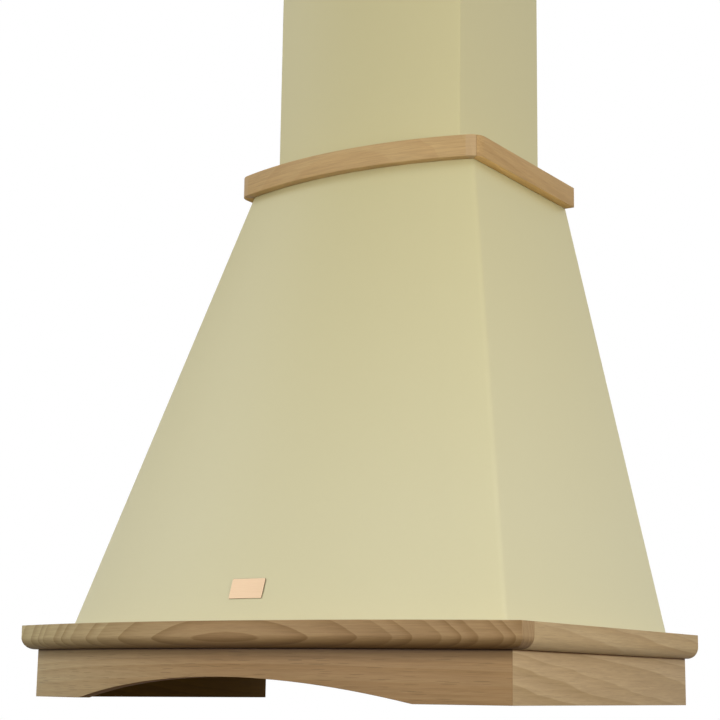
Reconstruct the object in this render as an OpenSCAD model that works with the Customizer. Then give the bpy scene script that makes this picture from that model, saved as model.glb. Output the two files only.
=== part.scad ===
// Wall-hung dome hood with a beech frame, a painted steel dome and a telescopic duct cover.
// The wall is the plane y = 0 and the front faces -Y. The origin is the centre of the four hanging
// holes on the wall.

/* [Wooden frame] */
// Width over the shelf, the widest piece
shelf_w = 600; // [580:1:640]
// Height of the shelf boards
shelf_h = 25; // [21:1:30]
// Radius of the round lower edge of the shelf
nose_r = 12.5; // [8:0.5:15]
// How far the shelf stands out past the boards under it
overhang = 15.5; // [10:0.5:20]
// Width of the shelf's side boards
shelf_board = 85; // [70:1:88]
// Depth of the front shelf board at its two ends
shelf_end = 23; // [18:1:30]
// Thickness of the rail that ties the shelf at the wall
rail_t = 22; // [16:1:26]
// Height of the boards under the shelf
apron_h = 49; // [44:1:60]
// Thickness of the side boards
side_t = 11; // [9:0.5:16]
// Thickness of the front board
front_t = 16; // [12:0.5:20]
// Length of the side boards from the wall
side_d = 398; // [390:1:420]
// How far the front board bows forward past its ends
bow = 54; // [45:1:62]
// Width of the arch in the front board
arch_w = 396; // [300:1:420]
// Rise of the arch
arch_h = 22; // [12:1:28]
// Leg of the glue blocks in the front corners
block_leg = 26; // [18:1:32]
// How far the glue blocks stop short of the boards' lower edge
block_up = 4; // [2:1:10]

/* [Dome] */
// Sheet thickness of the dome
dome_t = 1.2; // [1:0.1:2]
// How far the dome's foot stands in from the shelf's side edge
foot_in = 36.5; // [33:0.5:42]
// How far the corners of the dome's foot stand back from those of the front board
foot_back = 28.5; // [20:0.5:38]
// Bow of the dome's front at its foot
foot_bow = 52; // [44:1:58]
// Height of the dome
dome_h = 517; // [500:1:560]
// Width of the dome at its top
top_w = 286; // [280:1:300]
// Depth of the dome's side at its top
top_d = 217; // [213:1:226]
// Bow of the dome's front at its top
top_bow = 24; // [20:1:28]
// Radius of the dome's upright corners
corner_r = 7; // [4:0.5:10]
// Width of the flanges folded inward at the foot and at the back
flange_w = 16; // [13:1:20]
// Width of the flange folded inward at the top's sides
top_flange_w = 42; // [38:1:46]
// Width of the flange folded inward at the top's front
top_flange_d = 24; // [20:1:28]

/* [Belt] */
// Height of the belt boards
belt_h = 24; // [20:1:30]
// How far the belt stands out past the dome at its lower edge
belt_t = 11.7; // [9:0.1:14]
// How far the belt's lower edge lies under the dome's top
belt_low = 18; // [16:1:22]
// Radius of the belt's front corners
belt_r = 18; // [14:1:22]

/* [Duct cover] */
// Width of the lower cover
cover_w = 243; // [236:1:248]
// Distance from the wall to the cover's front corners
cover_d = 207.5; // [202:0.5:210]
// Bow of the cover's front
cover_bow = 17; // [12:1:20]
// Sheet thickness of both covers
cover_t = 0.8; // [0.6:0.1:1]
// Radius of the covers' corners
cover_r = 3; // [2:0.5:5]
// Gap between the two covers
cover_gap = 0.6; // [0.4:0.1:0.9]
// How far the covers stop short of the wall
cover_back = 20; // [16:1:24]
// Height of the lower cover
cover_h = 400; // [360:5:460]
// Height of the upper cover
upper_h = 400; // [360:5:420]
// How far the upper cover stands out at rest
upper_out = 50; // [40:1:80]
// How far the upper cover slides up
upper_lift = 300; // [200:5:310]
// Width of the covers' folded edges
lip_w = 15; // [12:1:18]
// Height of the wall brackets
bracket_h = 26; // [22:1:30]
// Metal thickness of the wall brackets
bracket_t = 2; // [1.5:0.5:2.5]
// How far the lower bracket's foot lies under the top of the lower cover
bracket_down = 60; // [45:1:80]
// How far the upper bracket's top lies under the top of the upper cover
upper_down = 6; // [3:1:12]

/* [Hanging] */
// Height of the hanging holes' centre over the lower edge of the wood
hang_h = 330; // [320:1:345]
// Distance between the hanging holes from side to side
hang_x = 220; // [210:1:240]
// Distance between the hanging holes up and down
hang_z = 180; // [160:1:200]
// Diameter of the hanging holes
hang_hole = 9; // [7:0.5:10]
// Thickness of the back panel
panel_t = 1.5; // [1.2:0.1:2]
// Distance between the two holes of a cover bracket
bracket_x = 120; // [100:1:140]
// Diameter of the holes in the cover brackets
bracket_hole = 6; // [5:0.5:7]

/* [Underside] */
// Thickness of the pan under the shelf
pan_t = 1.2; // [1:0.1:1.6]
// Width of the strip between a filter and the shelf's side board
filter_side = 9; // [7:0.5:15]
// Depth of one filter opening
filter_d = 268; // [250:1:270]
// Distance from the wall to the filter openings
filter_back = 48; // [44:1:54]
// Width of the strip between the filters
filter_mid = 8; // [6:1:10]
// Thickness of a filter
filter_t = 9; // [8:0.5:11]
// Thickness of a filter's pad
pad_t = 3; // [2:0.5:5]
// Width of a filter's frame
filter_rim = 12; // [10:1:16]
// Width of a filter's front rail, which holds the latch
latch_rail = 22; // [20:1:26]
// Gap round a filter
filter_gap = 1.2; // [1:0.1:1.6]
// Width of a filter's two rear tongues
tongue_w = 20; // [14:1:30]
// Thickness of the tongues
tongue_t = 1.5; // [1:0.1:2]
// How far a tongue lies over the pan's rear edge
tongue_lap = 5; // [4:0.5:7]
// Width of a latch
latch_w = 30; // [24:1:40]
// Depth of a latch
latch_d = 11; // [9:0.5:12]
// Thickness of a latch
latch_t = 3; // [2:0.5:4]
// Width of a latch's nose
latch_nose = 14; // [10:1:18]
// Metal in front of a latch
latch_wall = 1.5; // [1:0.1:2]
// How far the latch slides back
latch_stroke = 4; // [3:0.5:5]
// Width of the rib that slides a latch
grip_w = 20; // [16:1:22]
// Thickness of the rib, and how far it hangs out
grip_t = 3; // [2:0.5:4]
// Distance of a lamp from the middle
lamp_x = 135; // [128:1:150]
// Distance from the wall to the lamps and the switches
lamp_y = 352; // [350:1:356]
// Radius of a lamp's ring
lamp_r = 30; // [28:1:32]
// How far a lamp's ring and the switch plate lap over the pan
lap = 4; // [3:0.5:5]
// Thickness of a lamp's ring, its wall, its glass and the switch plate
rim_t = 2; // [1.5:0.1:2.5]
// Depth of a lamp above the pan
lamp_deep = 24; // [18:1:28]
// Width of the switch plate
switch_w = 150; // [146:1:170]
// Depth of the switch plate
switch_d = 30; // [27:1:34]
// Height of the switch box over the pan
switch_h = 18; // [16:0.5:22]
// Distance between two buttons
button_step = 27; // [25:0.5:28]
// Width of a button
button_w = 18; // [14:0.5:19]
// Depth of a button
button_d = 12; // [10:0.5:14]
// Width of a button's lip
button_lip = 1; // [0.5:0.1:1.5]
// Height of a button's lip
button_lip_h = 4; // [2:0.5:5]
// Travel of a button
button_travel = 3; // [2:0.5:3.5]
// Play round a button and round a latch
play = 0.3; // [0.2:0.05:0.4]

/* [Blower] */
// Height of the fan's axis over the lower edge of the wood
fan_h = 420; // [412:1:424]
// Distance of the fan's axis from the wall
fan_y = 160; // [156:1:164]
// Outer radius of the fan wheel
wheel_r = 74; // [68:1:76]
// Width of the fan wheel
wheel_w = 120; // [110:1:124]
// Number of blades in the fan wheel
blades = 30; // [20:1:36]
// Width of a blade
blade_w = 13; // [10:0.5:15]
// Thickness of a blade
blade_t = 1.2; // [1:0.1:2]
// Angle of a blade to the radius
blade_a = 28; // [15:1:35]
// Thickness of the wheel's rings
wheel_rim = 2; // [1.5:0.5:3]
// Thickness of the wheel's disc
disc_t = 3; // [2:0.5:4]
// Radius of the wheel's hub
hub_r = 12; // [9:0.5:15]
// Length of the wheel's hub
hub_l = 10; // [8:0.5:14]
// Radius of the motor
motor_r = 42; // [36:1:46]
// Radius of the motor's outer cap and of the plate that carries it
cap_r = 32; // [28:1:34]
// Distance from the wheel's middle to the motor
motor_x = 6; // [5:0.5:8]
// Height of the motor's outer cap
cap_h = 6; // [4:0.5:8]
// Thickness of the motor's three arms
arm_t = 3; // [2:0.5:4]
// Width of the arms
arm_w = 14; // [10:1:18]
// How far the arms lap over the casing
arm_lap = 10; // [8:1:12]
// How far the shaft stands out past the wheel's middle
shaft_out = 14; // [12:0.5:16]
// Radius of the motor's shaft
shaft_r = 4; // [3:0.5:5]
// Running clearance of a shaft or a pin in its bore
run_gap = 0.05; // [0.03:0.01:0.08]
// Width of the blower casing
casing_w = 144; // [140:1:148]
// Smallest radius of the casing's spiral
casing_r0 = 84; // [82:1:86]
// Largest radius of the casing's spiral
casing_r1 = 105; // [100:1:106]
// Wall of the casing
casing_t = 1.6; // [1.2:0.1:2]
// Angle at which the casing's spiral starts
scroll_a = 66; // [60:1:70]
// Height of the casing's outlet over the fan's axis
outlet_h = 135; // [132:1:140]
// Radius of the inlets in the casing's sides
inlet_r = 62; // [58:1:65]
// Outer diameter of the duct collar
collar_d = 120; // [118:1:120]
// Height of the duct collar
collar_h = 55; // [50:1:60]
// Wall of the duct collar and of its flange
collar_t = 2; // [1.5:0.1:2.5]
// Width of the ledge inside the collar that the flaps lie over
ledge = 4; // [3:0.5:5]
// Height of the pin that the flaps turn on over the collar's flange
pin_up = 19; // [15:1:24]
// Radius of the pin
pin_r = 2; // [1.5:0.1:2.5]
// Wall of the knuckles round the pin
knuckle_t = 2; // [1.5:0.1:2.5]
// Length of a knuckle
knuckle_w = 19.6; // [14:0.2:19.6]
// Thickness of a flap
flap_t = 1.2; // [1:0.1:1.6]
// Gap round a flap
flap_gap = 0.6; // [0.4:0.1:1]
// Metal thickness of the blower's legs
leg_t = 2; // [1.5:0.5:3]
// Distance from the middle to a leg
leg_x = 45; // [40:1:50]
// Width of a leg's flanges
leg_w = 20; // [16:1:24]
// Height of the legs
leg_h = 90; // [60:1:100]
// Height of the legs' lower edge over the fan's axis
leg_up = 20; // [10:1:30]

/* [Small parts] */
// Width of the plate on the dome
plate_w = 40; // [34:1:46]
// Height of the plate on the dome
plate_h = 21; // [16:1:26]
// Height of the plate's middle over the shelf
plate_up = 33; // [26:1:60]
// Thickness of the plate
plate_t = 0.8; // [0.5:0.1:1.2]
// Radius of the plate's corners
plate_r = 1.5; // [1:0.1:3]
// Radius of a screw's shank
screw_r = 1.7; // [1.5:0.1:2]
// Length of a wood screw
screw_l = 15; // [12:1:18]
// Height of a screw's head
screw_head = 1.6; // [1.2:0.1:2]
// Distance of the pan's screws from the boards round it
screw_in = 22; // [20:1:26]
// Distance of the first and the last screw of a row from its ends
screw_end = 60; // [50:1:70]
// Width of the junction box
box_w = 100; // [80:1:110]
// Depth of the junction box
box_d = 34; // [28:1:40]
// Height of the junction box
box_h = 62; // [50:1:76]
// Wall of the junction box
box_t = 2; // [1.5:0.1:2.5]
// How far the box's middle stands in from the dome's side at its foot
box_in = 113.5; // [108:0.5:130]
// Height of the box over the shelf
box_up = 70; // [60:1:100]
// Radius of the cable gland's flange
gland_r = 11; // [10:0.5:12]
// Radius of the gland's thread
gland_thread = 8; // [7:0.5:8.5]
// Radius of the gland's bore
gland_bore = 4; // [3:0.5:5]
// How far the gland hangs under the box
gland_h = 12; // [10:0.5:16]

/* [Hidden] */
$fn = 64;
// A circle this smooth is used for the long, flat arcs.
fine = 720;
e = 0.01;
// How far a cutter runs past the face that it starts from.
over = 1;
// Longer than any piece.
big = 2 * shelf_w;
// Play between flat faces that are pushed together by hand, and between a piece and its hole.
seat = 0.3;
fit = 0.2;

// Levels, from the lower edge of the wood up.
z_foot = -hang_h;
z_shelf = z_foot + apron_h;
z_dome = z_shelf + shelf_h;
z_top = z_dome + dome_h;
z_belt = z_top - belt_low;
z_pan = z_shelf - pan_t;
foot_w = shelf_w - 2 * foot_in;
foot_d = side_d - foot_back;

// The frame's front is an arc round a point on the middle line, behind the wall.
function arc_r(hw, s) = (hw * hw + s * s) / (2 * s);
apron_hw = shelf_w / 2 - overhang;
apron_R = arc_r(apron_hw, bow);
apron_cy = apron_R - side_d - bow;
apron_in = apron_hw - side_t;
shelf_R = apron_R + overhang;
// Depth from the wall at which an arc meets the line x = hw.
function arc_d(hw, R, cy) = sqrt(R * R - hw * hw) - cy;
apron_in_d = arc_d(apron_in, apron_R - front_t, apron_cy);
shelf_d = arc_d(shelf_w / 2, shelf_R, apron_cy) - shelf_end;

// The dome's plan shrinks evenly from its foot to its top.
function up(z) = (z - z_dome) / dome_h;
function mix(a, b, k) = a + (b - a) * k;
function dome_hw(z) = mix(foot_w, top_w, up(z)) / 2;
function dome_d(z) = mix(foot_d, top_d, up(z));
function dome_bow(z) = mix(foot_bow, top_bow, up(z));
function dome_R(z) = arc_r(dome_hw(z), dome_bow(z));
function dome_cy(z) = dome_R(z) - dome_d(z) - dome_bow(z);

cover_hw = cover_w / 2;
cover_R = arc_r(cover_hw, cover_bow);
cover_cy = cover_R - cover_d - cover_bow;
z_cover = z_top + dome_t;
z_upper = z_cover + cover_h + upper_out - upper_h;

z_fan = z_foot + fan_h;
z_outlet = z_fan + outlet_h;
outlet_w = collar_d;
collar_y = -fan_y + casing_r1 - outlet_w / 2;
collar_r = collar_d / 2;
z_pin = z_outlet + collar_t + pin_up;

// Right-hand middle of a filter opening, and its front edge.
filter_w = (shelf_w - filter_mid) / 2 - shelf_board - filter_side;
filter_x = (filter_mid + filter_w) / 2;
filter_front = filter_back + filter_d;
z_latch = z_pan + latch_wall;
leg_z = z_fan + leg_up;
box_x = foot_w / 2 - box_in;
box_z = z_dome + box_up;

// A plan from the wall to a front arc of radius R round (0, cy), with front corners of radius r.
module plan(hw, R, cy, r = 0) {
  d = arc_d(hw, R, cy);
  fx = hw - r;
  fy = cy - sqrt((R - r) * (R - r) - fx * fx);
  far = R - cy + r + over;
  dir = [fx, fy - cy] / norm([fx, fy - cy]);
  difference() {
    union() {
      translate([-hw, -d]) square([2 * hw, d]);
      intersection() {
        translate([0, cy]) circle(R, $fn = fine);
        translate([-hw, -far]) square([2 * hw, far - d + over]);
      }
    }
    if (r > 0)
      for (m = [0, 1]) mirror([m, 0])
        polygon([[fx, fy], [hw + over, fy], [hw + over, -far], [fx, fy] + dir * (far + fy) * 1.5]);
  }
  if (r > 0) for (m = [-1, 1]) translate([m * fx, fy]) circle(r);
}

// The points of a plan's outline from its back right corner round the front to its back left corner.
function ring(hw, R, cy, r) =
  let (fx = hw - r, fy = cy - sqrt((R - r) * (R - r) - fx * fx), a = atan2(fy - cy, fx), n = 4, m = 26)
  concat([[hw, 0]],
    [for (i = [0:n]) [fx + r * cos(a * i / n), fy + r * sin(a * i / n)]],
    [for (i = [1:m - 1]) let (b = mix(a, -180 - a, i / m)) [R * cos(b), cy + R * sin(b)]],
    [for (i = [n:-1:0]) [-fx - r * cos(a * i / n), fy + r * sin(a * i / n)]],
    [[-hw, 0]]);
function dome_ring(z, inset) = ring(dome_hw(z) - inset, dome_R(z) - inset, dome_cy(z), corner_r - inset);
function at_z(v, z) = [for (p = v) [p[0], p[1], z]];

// A wall that runs along outlines: o and i are its outer and inner ones at level za, p and q at zb.
// All four have the same number of points and run clockwise seen from above.
module wall(o, i, za, p, q, zb) {
  n = len(o);
  corners = [at_z(o, za), at_z(p, zb), at_z(q, zb), at_z(i, za)];
  polyhedron(
    [for (k = [0:n - 1]) for (c = corners) c[k]],
    concat([[0, 1, 2, 3], [4 * n - 1, 4 * n - 2, 4 * n - 3, 4 * n - 4]],
      [for (k = [0:n - 2], c = [0:3]) [4 * k + c, 4 * k + 4 + c, 4 * k + 4 + (c + 1) % 4]],
      [for (k = [0:n - 2], c = [0:3]) [4 * k + c, 4 * k + 4 + (c + 1) % 4, 4 * k + (c + 1) % 4]]));
}

// A screw with its head's underside at the origin, driven along -Z.
module screw(l = screw_l) {
  cylinder(r = 2 * screw_r, h = screw_head, $fn = 24);
  translate([0, 0, -l]) cylinder(r = screw_r, h = l + e, $fn = 24);
}
module pilot(l = screw_l) {
  translate([0, 0, -l - over]) cylinder(r = screw_r + fit / 2, h = l + 2 * over, $fn = 24);
}

// Places of the screws.
pan_spots = concat(
  [for (m = [-1, 1], y = [screw_end, side_d / 2, side_d - screw_end]) [m * (apron_in - screw_in), -y]],
  [for (m = [-1, 1]) [m * screw_end, -side_d - bow + front_t + screw_in]]);
module at_pan_screws() { for (p = pan_spots) translate([p[0], p[1], z_pan]) mirror([0, 0, 1]) children(); }
function dome_in(x, z) = arc_d(abs(x), dome_R(z), dome_cy(z)) - flange_w / 2;
dome_spots = concat(
  [for (m = [-1, 1], k = [0.25, 0.62, 0.87]) [m * (foot_w - flange_w) / 2, -k * foot_d]],
  [for (m = [-1, 1]) [m * foot_w / 4, -dome_in(foot_w / 4, z_dome)]]);
module at_dome_screws() { for (p = dome_spots) translate([p[0], p[1], z_dome + dome_t]) children(); }
module at_panel_screws() {
  for (m = [-1, 1], k = [0.12, 0.5, 0.88]) {
    z = z_dome + k * dome_h;
    translate([m * (dome_hw(z) - flange_w / 2 - dome_t), -panel_t - dome_t, z]) rotate([90, 0, 0]) children();
  }
}
cover_spots = [for (m = [-1, 1], k = [0.34, 0.82]) [m * (cover_hw - cover_t - lip_w / 2), -k * cover_d]];
module at_cover_screws() { for (p = cover_spots) translate([p[0], p[1], z_cover + cover_t]) children(); }
module at_blower_screws() {
  for (m = [-1, 1], k = [0.13, 0.87])
    translate([m * (leg_x + (leg_w + leg_t) / 2), -panel_t - leg_t, leg_z + k * leg_h])
      rotate([90, 0, 0]) children();
}

// Finishes.
module beech() { color([0.68, 0.56, 0.42]) children(); }
module cream() { color([0.83, 0.79, 0.64]) children(); }
module zinc() { color([0.62, 0.63, 0.64]) children(); }

// The front board is cut from an arc and mitred into the side boards. Each mitre line runs on past
// both faces of the board.
module front_apron() beech() difference() {
  mitre = [apron_hw, -side_d] - [apron_in, -apron_in_d];
  a = [apron_hw, -side_d] + mitre;
  b = [apron_in, -apron_in_d] - mitre;
  translate([0, 0, z_foot]) linear_extrude(apron_h) intersection() {
    difference() {
      translate([0, apron_cy]) circle(apron_R, $fn = fine);
      translate([0, apron_cy]) circle(apron_R - front_t, $fn = fine);
    }
    polygon([a, b, [-b[0], b[1]], [-a[0], a[1]], [-a[0], a[1] - 2 * bow], [a[0], a[1] - 2 * bow]]);
  }
  arch_R = arc_r(arch_w / 2, arch_h);
  translate([0, 0, z_foot + arch_h - arch_R]) rotate([90, 0, 0])
    cylinder(r = arch_R, h = side_d + bow + over, $fn = fine);
}

module right_apron() beech() translate([0, 0, z_foot]) linear_extrude(apron_h)
  polygon([[apron_hw, -side_d], [apron_in, -apron_in_d], [apron_in, 0], [apron_hw, 0]]);
module left_apron() mirror([1, 0, 0]) right_apron();

// Glue blocks behind the mitres.
module corner_blocks() beech() for (m = [0, 1]) mirror([m, 0, 0]) {
  x = apron_in - block_leg;
  translate([0, 0, z_foot + block_up]) linear_extrude(apron_h - block_up - pan_t)
    polygon([[apron_in, -apron_in_d], [apron_in, -apron_in_d + block_leg],
      [x, -arc_d(x, apron_R - front_t, apron_cy)]]);
}

// Half of the shelf's section: a board with a round lower outer edge.
module nose(w) {
  square([w - nose_r, shelf_h]);
  translate([0, nose_r]) square([w, shelf_h - nose_r]);
  translate([w - nose_r, nose_r]) circle(nose_r);
}

// The front shelf board runs the full width, so its ends show on the sides.
module front_cornice() beech() difference() {
  intersection() {
    translate([0, apron_cy, z_shelf]) rotate_extrude($fn = fine) difference() {
      nose(shelf_R);
      translate([-over, -over]) square([shelf_R - 2 * shelf_board, shelf_h + 2 * over]);
    }
    translate([0, -shelf_d, z_shelf]) rotate([90, 0, 0]) linear_extrude(2 * shelf_board) {
      nose(shelf_w / 2);
      mirror([1, 0]) nose(shelf_w / 2);
    }
  }
  at_pan_screws() pilot();
  at_dome_screws() pilot();
}

module right_cornice() beech() difference() {
  translate([0, 0, z_shelf]) rotate([90, 0, 0]) linear_extrude(shelf_d) difference() {
    nose(shelf_w / 2);
    translate([-over, -over]) square([shelf_w / 2 - shelf_board + over, shelf_h + 2 * over]);
  }
  at_pan_screws() pilot();
  at_dome_screws() pilot();
}
module left_cornice() mirror([1, 0, 0]) right_cornice();

module rear_rail() beech() translate([-shelf_w / 2 + shelf_board, -rail_t, z_shelf])
  cube([shelf_w - 2 * shelf_board, rail_t, shelf_h]);

// Bent sheet with flanges at the foot, the back and the top. The blower's collar passes the top flange.
module dome_shell() cream() difference() {
  union() {
    wall(dome_ring(z_dome, 0), dome_ring(z_dome, dome_t), z_dome,
      dome_ring(z_top, 0), dome_ring(z_top, dome_t), z_top);
    translate([0, 0, z_dome]) linear_extrude(dome_t) difference() {
      polygon(dome_ring(z_dome, dome_t / 2));
      plan(foot_w / 2 - flange_w, dome_R(z_dome) - flange_w, dome_cy(z_dome));
      translate([-foot_w, -panel_t]) square([2 * foot_w, panel_t + over]);
    }
    translate([0, 0, z_top]) linear_extrude(dome_t) difference() {
      polygon(dome_ring(z_top, 0));
      translate([-top_w / 2 + top_flange_w, -top_d + top_flange_d]) square([top_w - 2 * top_flange_w, top_d]);
      translate([-foot_w, -panel_t]) square([2 * foot_w, panel_t + over]);
    }
    for (m = [0, 1]) mirror([m, 0, 0]) translate([0, -panel_t, 0]) rotate([90, 0, 0]) linear_extrude(dome_t)
      polygon([[foot_w / 2 - dome_t / 2, z_dome], [foot_w / 2 - flange_w, z_dome],
        [top_w / 2 - flange_w, z_top], [top_w / 2 - dome_t / 2, z_top]]);
  }
  at_dome_screws() pilot();
  at_panel_screws() pilot(4);
  at_cover_screws() pilot(4);
}

// The belt is cut to the dome's outline at the belt's lower edge and mitred at the corners.
module belt_ring() {
  hw = dome_hw(z_belt) + seat;
  R = dome_R(z_belt) + seat;
  difference() {
    plan(hw + belt_t, R + belt_t, dome_cy(z_belt), belt_r);
    plan(hw, R, dome_cy(z_belt), corner_r);
    translate([-hw, -over]) square([2 * hw, 2 * over]);
  }
}
// Everything in front of the two mitres.
module belt_front() {
  hw = dome_hw(z_belt) + seat;
  d = arc_d(hw, dome_R(z_belt) + seat, dome_cy(z_belt));
  polygon([[hw, -d], [hw + big, -d - big], [-hw - big, -d - big], [-hw, -d]]);
}
module front_belt() beech() translate([0, 0, z_belt]) linear_extrude(belt_h) intersection() {
  belt_ring();
  belt_front();
}
module right_belt() beech() translate([0, 0, z_belt]) linear_extrude(belt_h) intersection() {
  difference() { belt_ring(); belt_front(); }
  translate([0, -big]) square([big, big]);
}
module left_belt() mirror([1, 0, 0]) right_belt();

// A duct cover is one sheet folded in at the back, i inside the lower cover's outside.
module cover(i, h) linear_extrude(h) {
  back = cover_back + i;
  difference() {
    plan(cover_hw - i, cover_R - i, cover_cy, cover_r);
    intersection() {
      plan(cover_hw - i - cover_t, cover_R - i - cover_t, cover_cy, cover_r - cover_t);
      translate([-cover_w, -back - cover_t - big]) square([2 * cover_w, big]);
    }
    translate([-cover_hw + i + lip_w, -back - cover_t - over])
      square([cover_w - 2 * i - 2 * lip_w, cover_t + 2 * over]);
    translate([-cover_w, -back]) square([2 * cover_w, back + over]);
  }
}
module lower_chimney() cream() difference() {
  translate([0, 0, z_cover]) union() {
    cover(0, cover_h);
    for (m = [0, 1]) mirror([m, 0, 0]) translate([cover_hw - cover_t / 2 - lip_w, -cover_d + lip_w / 2, 0])
      cube([lip_w, cover_d - cover_back - lip_w, cover_t]);
  }
  at_cover_screws() pilot(4);
}
module upper_chimney() cream() translate([0, 0, z_upper]) cover(cover_t + cover_gap, upper_h);

// A wall strip with two legs that reach out to a cover's folded edges, which lie at the depth given.
module cover_bracket(out, hw, z) zinc() difference() {
  translate([0, 0, z]) union() {
    translate([-hw + lip_w, -bracket_t, 0]) cube([2 * hw - 2 * lip_w, bracket_t, bracket_h]);
    for (m = [0, 1]) mirror([m, 0, 0]) {
      translate([hw - lip_w, -out, 0]) cube([bracket_t, out, bracket_h]);
      translate([hw - lip_w, -out, 0]) cube([lip_w - over, bracket_t, bracket_h]);
    }
  }
  for (m = [-1, 1]) translate([m * bracket_x / 2, over, z + bracket_h / 2]) rotate([90, 0, 0])
    cylinder(d = bracket_hole, h = bracket_t + 2 * over, $fn = 32);
}
module chimney_bracket() cover_bracket(cover_back, cover_hw - cover_t, z_cover + cover_h - bracket_down);
module upper_bracket() cover_bracket(cover_back + cover_t + cover_gap, cover_hw - 2 * cover_t - cover_gap,
  z_upper + upper_h - bracket_h - upper_down);

// A small bare plate on the front of the dome, tilted with it and resting on its middle line.
module nameplate() color([0.85, 0.62, 0.45]) {
  z = z_dome + plate_up;
  lean = atan(((foot_d + foot_bow) - (top_d + top_bow)) / dome_h);
  translate([0, -dome_d(z) - dome_bow(z), z]) rotate([90 - lean, 0, 0])
    translate([0, 0, fit / 2]) linear_extrude(plate_t) {
      square([plate_w - 2 * plate_r, plate_h], center = true);
      square([plate_w, plate_h - 2 * plate_r], center = true);
      for (m = [-1, 1], n = [-1, 1]) translate([m * (plate_w / 2 - plate_r), n * (plate_h / 2 - plate_r)])
        circle(plate_r);
    }
}

// The panel lies between the dome's sides and carries the hood on the wall.
module back_panel() zinc() difference() {
  rotate([90, 0, 0]) linear_extrude(panel_t)
    polygon([[foot_w / 2 - dome_t - seat, z_dome], [top_w / 2 - dome_t - seat, z_top - fit],
      [-top_w / 2 + dome_t + seat, z_top - fit], [-foot_w / 2 + dome_t + seat, z_dome]]);
  for (m = [-1, 1], n = [-1, 1]) translate([m * hang_x / 2, over, n * hang_z / 2]) rotate([90, 0, 0])
    cylinder(d = hang_hole, h = panel_t + 2 * over, $fn = 40);
  at_panel_screws() pilot(4);
  at_blower_screws() pilot(4);
}

// The pan closes the space over the cooker round the filters, the lamps and the switches.
module base_pan() cream() translate([0, 0, z_pan]) difference() {
  linear_extrude(pan_t) difference() {
    plan(apron_in - seat, apron_R - front_t - seat, apron_cy, pan_t);
    for (m = [-1, 1]) {
      translate([m * filter_x - filter_w / 2, -filter_front]) square([filter_w, filter_d]);
      translate([m * lamp_x, -lamp_y]) circle(lamp_r - lap);
    }
    translate([0, -lamp_y]) square([switch_w - 2 * lap, switch_d - 2 * lap], center = true);
  }
  translate([0, 0, -z_pan]) at_pan_screws() pilot();
}

// A filter is a frame round a pad. Its two tongues lie on the pan's rear edge, where it turns.
module filter_frame(x) color([0.72, 0.73, 0.74]) difference() {
  w = filter_w - 2 * filter_gap;
  d = filter_d - 2 * filter_gap;
  root = filter_gap + tongue_t;
  union() {
    translate([x - w / 2, -filter_front + filter_gap, z_pan]) cube([w, d, filter_t]);
    for (m = [-1, 1]) translate([x + m * filter_w / 4 - tongue_w / 2, -filter_back - root, z_shelf + seat])
      cube([tongue_w, root + tongue_lap, tongue_t]);
  }
  translate([x - w / 2 + filter_rim, -filter_front + filter_gap + latch_rail, z_pan - over])
    cube([w - 2 * filter_rim, d - filter_rim - latch_rail, filter_t + 2 * over]);
  h = latch_t + 2 * play;
  translate([x, -filter_front + filter_gap, z_latch - play]) {
    translate([-latch_w / 2 - play, latch_wall, 0])
      cube([latch_w + 2 * play, latch_d + latch_stroke + 2 * play, h]);
    translate([-latch_nose / 2 - play, -over, 0]) cube([latch_nose + 2 * play, latch_wall + 2 * over, h]);
    translate([-grip_w / 2 - play, grip_y - play, -filter_t])
      cube([grip_w + 2 * play, grip_t + latch_stroke + 2 * play, filter_t + over]);
  }
}
module filter_pad(x) color([0.6, 0.61, 0.62]) {
  w = filter_w - 2 * filter_gap;
  d = filter_d - 2 * filter_gap;
  translate([x - w / 2 + filter_rim, -filter_front + filter_gap + latch_rail, z_pan + (filter_t - pad_t) / 3])
    cube([w - 2 * filter_rim, d - filter_rim - latch_rail, pad_t]);
}
// The latch slides in the front rail, with its finger rib below and its nose in front.
grip_y = latch_wall + play + grip_t;
module latch(x) color([0.25, 0.25, 0.26]) translate([x, -filter_front + filter_gap, 0]) {
  translate([-latch_w / 2, latch_wall + play, z_latch]) cube([latch_w, latch_d, latch_t]);
  translate([-latch_nose / 2, -filter_gap + play, z_latch])
    cube([latch_nose, filter_gap + latch_wall + play, latch_t]);
  translate([-grip_w / 2, grip_y, z_pan - grip_t]) cube([grip_w, grip_t, z_latch - z_pan + grip_t + e]);
}
module left_filter() filter_frame(-filter_x);
module left_filter_mesh() filter_pad(-filter_x);
module left_latch() latch(-filter_x);
module right_filter() filter_frame(filter_x);
module right_filter_mesh() filter_pad(filter_x);
module right_latch() latch(filter_x);

// A lamp is a can through the pan with a ring under it and a glass in the ring.
lamp_can = lamp_r - lap - fit;
lamp_bore = lamp_can - rim_t;
module lamp(x) color([0.75, 0.75, 0.76]) translate([x, -lamp_y, z_pan]) difference() {
  union() {
    translate([0, 0, -rim_t]) cylinder(r = lamp_r, h = rim_t);
    cylinder(r = lamp_can, h = lamp_deep);
  }
  translate([0, 0, -rim_t - over]) cylinder(r = lamp_bore, h = lamp_deep + over);
}
module lens(x) color([0.9, 0.9, 0.88, 0.6]) translate([x, -lamp_y, z_pan - rim_t + seat])
  cylinder(r = lamp_bore, h = rim_t);
module left_lamp() lamp(-lamp_x);
module left_lens() lens(-lamp_x);
module right_lamp() lamp(lamp_x);
module right_lens() lens(lamp_x);

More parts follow.
